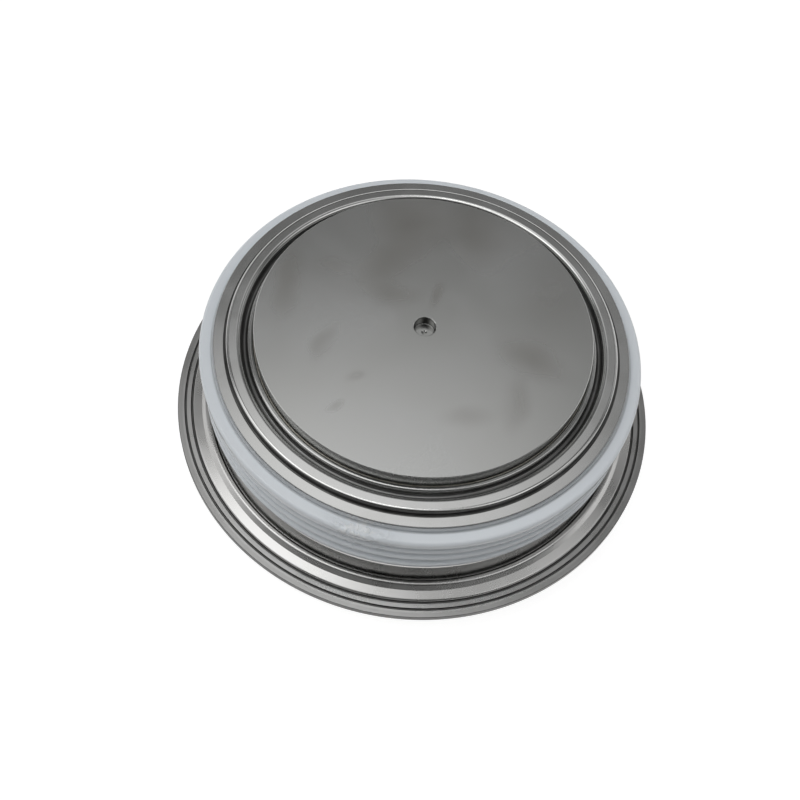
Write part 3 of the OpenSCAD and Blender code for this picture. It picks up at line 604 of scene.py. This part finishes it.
# Brazed seats: thin films of silver-copper braze between each pole and its lip, and between the
# sheets and the metallised ends of the ceramic. They flowed in a furnace and set with fine pits.
braze = finish(
    "silver_copper_braze", satin_metal,
    {"Light": (0.52, 0.50, 0.45, 1), "Dark": (0.38, 0.36, 0.31, 1), "Clouds": 900.0,
     "Smooth": 0.28, "Rough": 0.45, "Grain": 6000.0, "Grain depth": 4.0e-6,
     "Rings": 900.0, "Ring depth": 1.0e-6},
    Metallic=1.0)
for seat in ("cathode_pole_braze", "upper_ceramic_braze", "lower_ceramic_braze", "anode_pole_braze"):
    dress(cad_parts[seat], braze)

# Gate tube: an iron-nickel tube brazed through the ceramic wall, swaged down where the gate wire's
# connector goes on. A collar covers the brazed joint at the flat, and solder seals the outer end.
tube_metal = finish(
    "drawn_nickel_tube", satin_metal,
    {"Light": (0.68, 0.675, 0.66, 1), "Dark": (0.58, 0.57, 0.55, 1), "Clouds": 500.0,
     "Smooth": 0.22, "Rough": 0.34, "Grain": 8000.0, "Grain depth": 1.5e-6,
     "Rings": 5000.0, "Ring depth": 1.5e-6},
    Metallic=1.0)
solder = finish(
    "tin_solder", satin_metal,
    {"Light": (0.76, 0.76, 0.74, 1), "Dark": (0.60, 0.60, 0.59, 1), "Clouds": 1400.0,
     "Smooth": 0.16, "Rough": 0.36, "Grain": 5000.0, "Grain depth": 5.0e-6,
     "Rings": 1500.0, "Ring depth": 1.0e-6},
    Metallic=1.0)

TUBE_BORE_R, TUBE_END_R, COLLAR_R, COLLAR_T = 0.75, 1.0, 2.2, 0.4
TUBE_IN_Y, TUBE_END_Y, TUBE_OUT_Y, SEAL_IN_Y, SEAL_DOME = 29.8, 35.5, 40.2, 38.2, 0.25
LEAD_R, LEAD_COVER = 0.4, 1.0
gate_tube = turned("swaged_tube", supported(filleted([
    (TUBE_BORE_R, TUBE_IN_Y, 0.05), (TUBE_R, TUBE_IN_Y, 0.1), (TUBE_R, TUBE_END_Y, 0.12),
    (TUBE_END_R, TUBE_END_Y, 0.05), (TUBE_END_R, TUBE_OUT_Y, 0.12), (TUBE_BORE_R, TUBE_OUT_Y, 0.05)])),
    96, "y", LEAD_Z)
stand_for(gate_tube, "gate_tube", tube_metal)

tube_collar = turned("brazed_collar", supported(filleted([
    (TUBE_R, FLAT_Y, 0.02), (COLLAR_R, FLAT_Y, 0.04), (COLLAR_R, FLAT_Y + COLLAR_T, 0.16),
    (TUBE_R, FLAT_Y + COLLAR_T, 0.02)])), 96, "y", LEAD_Z)
stand_for(tube_collar, "gate_tube_collar", tube_metal)


def seal_outline():
    """Solder plug in the tube's end: a blind bore for the lead's end, a plain wall and a domed
    cap, whose height falls with the square of the radius."""
    dome_r = np.linspace(TUBE_BORE_R, 0, 12)
    cap = np.column_stack([dome_r, TUBE_OUT_Y + SEAL_DOME * (1 - (dome_r / TUBE_BORE_R) ** 2)])
    lead_end_y = TUBE_OUT_Y - LEAD_COVER
    return np.vstack([[(0, lead_end_y), (LEAD_R, lead_end_y), (LEAD_R, SEAL_IN_Y), (TUBE_BORE_R, SEAL_IN_Y)], cap])


stand_for(turned("solder_seal", seal_outline(), 64, "y", LEAD_Z), "gate_tube_seal", solder)

# Stack between the poles: soft silver foils, a thick and a thin molybdenum disc, and the silicon
# wafer between them. The wafer's metal is a gate pad, an amplifying ring and a wide cathode.
silver = finish(
    "soft_silver_foil", satin_metal,
    {"Light": (0.93, 0.92, 0.90, 1), "Dark": (0.86, 0.85, 0.82, 1), "Clouds": 90.0,
     "Smooth": 0.20, "Rough": 0.34, "Grain": 3000.0, "Grain depth": 4.0e-6,
     "Rings": 400.0, "Ring depth": 1.0e-6},
    Metallic=1.0)
molybdenum = finish(
    "ground_molybdenum", satin_metal,
    {"Light": (0.52, 0.52, 0.54, 1), "Dark": (0.45, 0.45, 0.47, 1), "Clouds": 80.0,
     "Smooth": 0.26, "Rough": 0.40, "Grain": 7000.0, "Grain depth": 2.0e-6,
     "Rings": 2400.0, "Ring depth": 3.0e-6},
    Metallic=1.0)


WAFER_R = 24.0


def wafer_material():
    """Silicon with its metal pattern: the colour and roughness change in steps with the distance
    from the axis, from gate pad to bare ring, amplifying ring, bare ring, cathode and bare rim.
    Small bare dots in the cathode are the shorting points."""
    material = bpy.data.materials.new("metallised_silicon")
    material.use_nodes = True
    tree = material.node_tree
    tree.nodes.clear()
    shader = put(tree, "ShaderNodeBsdfPrincipled", {"Metallic": 1.0})
    put(tree, "ShaderNodeOutputMaterial", {"Surface": shader.outputs[0]})
    place = put(tree, "ShaderNodeTexCoord").outputs["Object"]
    share = arithmetic(tree, "DIVIDE", from_axis(tree, place), WAFER_R * MM)
    steps = put(tree, "ShaderNodeValToRGB", {0: share})
    steps.color_ramp.interpolation = "CONSTANT"
    bare, metal = (0.10, 0.11, 0.13, 1), (0.82, 0.81, 0.79, 1)
    for at, colour in ((0.0, metal), (0.10, bare), (0.13, metal), (0.22, bare), (0.25, metal), (0.955, bare)):
        if at:
            steps.color_ramp.elements.new(at).color = colour
        else:
            steps.color_ramp.elements[0].color = colour
    steps.color_ramp.elements.remove(steps.color_ramp.elements[-1])
    flat = put(tree, "ShaderNodeVectorMath", {0: place, 1: (1, 1, 0)}, operation="MULTIPLY").outputs[0]
    dots = put(tree, "ShaderNodeTexVoronoi", {"Vector": flat, "Scale": 900.0, "Randomness": 0.0})
    dot = arithmetic(tree, "LESS_THAN", dots.outputs["Distance"], 0.14)
    grain = noise(tree, place, 9000.0, 3.0)
    rough = put(tree, "ShaderNodeMapRange", {"Value": grain, "To Min": 0.1, "To Max": 0.3})
    bump = put(tree, "ShaderNodeBump", {"Distance": 1.0e-6, "Height": grain})
    tree.links.new(covered(tree, dot, steps.outputs[0], bare), shader.inputs["Base Color"])
    tree.links.new(rough.outputs[0], shader.inputs["Roughness"])
    tree.links.new(bump.outputs[0], shader.inputs["Normal"])
    return material


for node, material in (
        ("anode_silver_foil", silver), ("cathode_silver_foil", silver),
        ("anode_molybdenum_disc", molybdenum), ("cathode_molybdenum_disc", molybdenum),
        ("silicon_wafer", wafer_material())):
    dress(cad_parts[node], material)

# Rubber and plastics: silicone rubber cast round the wafer's rim, and the fluoroplastic locating
# ring, guide bush, insulating cup and lead sleeve, turned from rod or drawn as tube.


def moulded_group():
    """Rubber or plastic. Slow noise moves the colour between two tones, and fine noise roughens
    the surface and raises it by a depth."""
    tree, given, out = group_of(
        "rubber and plastic",
        {"Vector": "vector", "Light": "colour", "Dark": "colour", "Smooth": "value", "Rough": "value",
         "Grain": "value", "Grain depth": "value"},
        {"Color": "colour", "Roughness": "value", "Normal": "vector"},
    )
    slow = noise(tree, given["Vector"], 300.0, 3.0)
    fine = noise(tree, given["Vector"], given["Grain"], 4.0)
    rough = put(tree, "ShaderNodeMix", {0: fine, 2: given["Smooth"], 3: given["Rough"]})
    bump = put(tree, "ShaderNodeBump", {"Distance": given["Grain depth"], "Height": fine})
    tree.links.new(covered(tree, slow, given["Dark"], given["Light"]), out["Color"])
    tree.links.new(rough.outputs[0], out["Roughness"])
    tree.links.new(bump.outputs[0], out["Normal"])
    return tree


moulded = moulded_group()
rubber = finish(
    "red_silicone_rubber", moulded,
    {"Light": (0.50, 0.12, 0.07, 1), "Dark": (0.38, 0.08, 0.05, 1), "Smooth": 0.40, "Rough": 0.60,
     "Grain": 2500.0, "Grain depth": 1.5e-5},
    IOR=1.42)
fluoroplastic = finish(
    "turned_fluoroplastic", moulded,
    {"Light": (0.86, 0.85, 0.81, 1), "Dark": (0.78, 0.77, 0.73, 1), "Smooth": 0.35, "Rough": 0.50,
     "Grain": 4000.0, "Grain depth": 5.0e-6},
    IOR=1.38)
for node, material in (
        ("wafer_edge_rubber", rubber), ("locating_ring", fluoroplastic), ("gate_guide_bush", fluoroplastic),
        ("gate_insulating_cup", fluoroplastic), ("gate_lead_sleeve", fluoroplastic)):
    dress(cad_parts[node], material)

# Gate contact: a silver-plated pin pressed on the wafer's gate pad by a small steel spring, and
# the silver lead that is soldered into its head and runs out through the tube.
silver_plate = finish(
    "silver_plated_pin", satin_metal,
    {"Light": (0.90, 0.88, 0.84, 1), "Dark": (0.80, 0.77, 0.72, 1), "Clouds": 700.0,
     "Smooth": 0.16, "Rough": 0.30, "Grain": 6000.0, "Grain depth": 2.0e-6,
     "Rings": 5000.0, "Ring depth": 2.0e-6},
    Metallic=1.0)
spring_steel = finish(
    "drawn_spring_steel", satin_metal,
    {"Light": (0.56, 0.56, 0.57, 1), "Dark": (0.46, 0.46, 0.47, 1), "Clouds": 1200.0,
     "Smooth": 0.20, "Rough": 0.34, "Grain": 9000.0, "Grain depth": 2.0e-6,
     "Rings": 6000.0, "Ring depth": 1.0e-6},
    Metallic=1.0)
dress(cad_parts["gate_contact_pin"], silver_plate)
dress(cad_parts["gate_lead"], silver_plate)

SPRING_R, WIRE_R, OPEN_TURNS = 1.45, 0.225, 3
SPRING_LOW, SPRING_HIGH = 15.525, 18.575


def spring(rings_per_turn=48, sides=16):
    """Compression spring: a wire carried along a helix about the axis, with one closed turn at
    each end, whose pitch is the wire's diameter, and open turns that share the height between.
    The wire's circle lies in the plane through the axis, and each end is closed by a flat face."""
    turn = np.linspace(0, OPEN_TURNS + 2, (OPEN_TURNS + 2) * rings_per_turn + 1)[:, None]
    around = np.linspace(0, 2 * np.pi, sides, endpoint=False)
    lift = SPRING_HIGH - SPRING_LOW - 4 * WIRE_R
    closed = np.minimum(turn, 1) + np.maximum(turn - OPEN_TURNS - 1, 0)
    middle_z = SPRING_LOW + 2 * WIRE_R * closed + lift * np.clip(turn - 1, 0, OPEN_TURNS) / OPEN_TURNS
    r = SPRING_R + WIRE_R * np.cos(around)
    angle = 2 * np.pi * turn
    points = np.stack([r * np.cos(angle), r * np.sin(angle), middle_z + WIRE_R * np.sin(around)], -1)
    start = np.arange(len(turn) - 1)[:, None] * sides
    side = np.arange(sides)
    after = (side + 1) % sides
    quads = np.stack([start + side, start + sides + side, start + sides + after, start + after], -1)
    last = (len(turn) - 1) * sides
    ends = [side[None], (last + side)[None, ::-1]]
    return mesh_piece("gate_helix", points.reshape(-1, 3) * MM, [quads.reshape(-1, 4), *ends])


stand_for(spring(), "gate_spring", spring_steel)

# Paper sweep: white paper that lies flat under the part and curves up all round it. The camera and
# the metal see it white, and it keeps the part's soft shadow. From below it is left out, so that
# the lower pole can be seen.
SWEEP_START, SWEEP_FLAT, SWEEP_BEND, SWEEP_H, SWEEP_LOW = 0.2, 0.65, 0.25, 0.38, 0.25
SWEEP_GAP = 0.05 * MM


def sweep(turns=96, steps=16):
    """Flat disc, quarter circle and upright wall about the axis, seen from inside, all a small gap
    under the part. The height goes from full behind the part to low in front, as (1 + sin
    azimuth) / 2 squared."""
    bend = np.linspace(0, np.pi / 2, steps)
    wall_r = SWEEP_FLAT + SWEEP_BEND
    r = np.concatenate([[SWEEP_START, SWEEP_FLAT / 2], SWEEP_FLAT + SWEEP_BEND * np.sin(bend), [wall_r]])
    z = np.concatenate([[0, 0], SWEEP_BEND * (1 - np.cos(bend)), [SWEEP_H]])
    angle = np.linspace(0, 2 * np.pi, turns, endpoint=False)
    tall = SWEEP_LOW + (1 - SWEEP_LOW) * ((1 + np.sin(angle)) / 2) ** 2
    points = np.stack([r[:, None] * np.cos(angle), r[:, None] * np.sin(angle), z[:, None] * tall], -1)
    column = np.arange(turns)
    after = (column + 1) % turns
    start = np.arange(len(r) - 1)[:, None] * turns
    quads = np.stack([start + column, start + turns + column, start + turns + after, start + after], -1)
    centre = len(r) * turns
    fan = np.stack([0 * column + centre, column, after], -1)
    points = np.vstack([points.reshape(-1, 3), [[0, 0, 0]]]) - [0, 0, SWEEP_GAP]
    return mesh_piece("paper_sweep", points, [quads.reshape(-1, 4), fan])


paper_sweep = sweep()
paper = bpy.data.materials.new("white_paper")
paper.use_nodes = True
tree = paper.node_tree
tree.nodes.clear()
fibres = noise(tree, put(tree, "ShaderNodeTexCoord").outputs["Object"], 900.0, 2.0)
shade = put(tree, "ShaderNodeMapRange", {"Value": fibres, "To Min": 0.34, "To Max": 0.38})
diffuse = put(tree, "ShaderNodeBsdfDiffuse", {"Color": shade.outputs[0]})
glow = put(tree, "ShaderNodeEmission", {"Color": (1, 1, 1, 1), "Strength": 0.85})
both = put(tree, "ShaderNodeAddShader", {0: diffuse.outputs[0], 1: glow.outputs[0]})
rays = put(tree, "ShaderNodeLightPath").outputs
mirrored = arithmetic(tree, "MAXIMUM", rays["Is Glossy Ray"], rays["Is Transmission Ray"])
seen = arithmetic(tree, "MAXIMUM", rays["Is Camera Ray"], mirrored)
shown = put(tree, "ShaderNodeMixShader", {0: seen, 1: diffuse.outputs[0], 2: both.outputs[0]})
under = put(tree, "ShaderNodeNewGeometry").outputs["Backfacing"]
sheet = put(tree, "ShaderNodeMixShader", {
    0: under, 1: shown.outputs[0], 2: put(tree, "ShaderNodeBsdfTransparent").outputs[0]})
put(tree, "ShaderNodeOutputMaterial", {"Surface": sheet.outputs[0]})
dress(paper_sweep, paper)

# Studio light: soft lamps round the part, each a patch of the sky with a soft edge. The row gives
# its azimuth from the right, its elevation, the angles where it is full and gone, and its level.
world = bpy.data.worlds.new("studio")
bpy.context.scene.world = world
world.use_nodes = True
tree = world.node_tree
tree.nodes.clear()
direction = put(tree, "ShaderNodeTexCoord").outputs["Generated"]


def lamp(azimuth, elevation, full, gone):
    """1 within the full angle of a direction, 0 beyond the gone angle, smooth between."""
    a, e = radians(azimuth), radians(elevation)
    aim = Vector((cos(e) * cos(a), cos(e) * sin(a), sin(e)))
    near = put(tree, "ShaderNodeVectorMath", {0: direction, 1: aim}, operation="DOT_PRODUCT").outputs["Value"]
    return fade(tree, near, cos(radians(gone)), cos(radians(full)))


LAMPS = [
    (0, 90, 2, 14, 1.30),
    (100, 84, 1, 4, 6.00),
    (190, 18, 4, 20, 0.90),
    (235, 10, 6, 26, 0.15),
    (270, 20, 4, 26, 0.10),
    (305, 10, 6, 26, 0.15),
    (65, 52, 2, 14, 0.14),
    (60, 72, 2, 17, 0.25),
    (120, 72, 2, 17, 0.12),
    (180, 70, 2, 18, 1.05),
    (225, 72, 2, 17, 1.26),
    (315, 72, 2, 17, 0.54),
    (90, 66, 2, 15, 0.68),
    (120, 65, 2, 15, 0.58),
    (0, 52, 2, 18, 0.82),
    (90, 52, 2, 18, 0.20),
    (180, 52, 2, 18, 1.45),
    (210, 52, 2, 18, 1.44),
    (330, 52, 2, 18, 1.13),
    (0, 34, 2, 20, 0.40),
    (45, 34, 2, 20, 0.61),
    (135, 34, 2, 20, 0.43),
    (180, 34, 2, 20, 0.79),
    (210, 34, 2, 20, 0.29),
    (0, 15, 2, 20, 0.56),
    (215, 15, 2, 20, 0.09),
]
DIM_ROOM = 0.03
level = DIM_ROOM
for azimuth, elevation, full, gone, strength in LAMPS:
    level = arithmetic(tree, "MULTIPLY_ADD", lamp(azimuth, elevation, full, gone), strength, level)
studio = put(tree, "ShaderNodeBackground", {"Color": (1, 1, 1, 1), "Strength": level})
put(tree, "ShaderNodeOutputWorld", {"Surface": studio.outputs[0]})

# The camera stands in front of the part and looks down on it, with the picture turned a little. It
# is panned so that the middle of the upper face lies at its place in the 800 x 800 frame.
FOCAL_PX, FRAME_PX, ELEVATION, ROLL = 1057.0, 800.0, 53.87, -8.65
FACE_CENTRE_PX = np.array([425.0, 326.4])
DISTANCE = 6.22 * POLE_R * MM
back = Vector((0, -cos(radians(ELEVATION)), sin(radians(ELEVATION))))
right = Vector((1, 0, 0))
upright = Matrix((right, back.cross(right), back))
turn = Matrix.Rotation(radians(ROLL), 3, "Z")
off_x, off_y = (FACE_CENTRE_PX - FRAME_PX / 2) / FOCAL_PX
pan = Vector((0, 0, -1)).rotation_difference(Vector((off_x, -off_y, -1)).normalized()).to_matrix()
lens = bpy.data.cameras.new("camera")
lens.sensor_width = 36.0
lens.lens = FOCAL_PX / FRAME_PX * lens.sensor_width
lens.clip_start = 0.01
camera = bpy.data.objects.new("camera", lens)
bpy.context.scene.collection.objects.link(camera)
camera.rotation_mode = "QUATERNION"
camera.rotation_quaternion = (pan @ turn @ upright).transposed().to_quaternion()
camera.location = Vector((0, 0, CASE_H * MM)) + back * DISTANCE
bpy.context.scene.camera = camera
bpy.context.scene.view_settings.view_transform = "Standard"
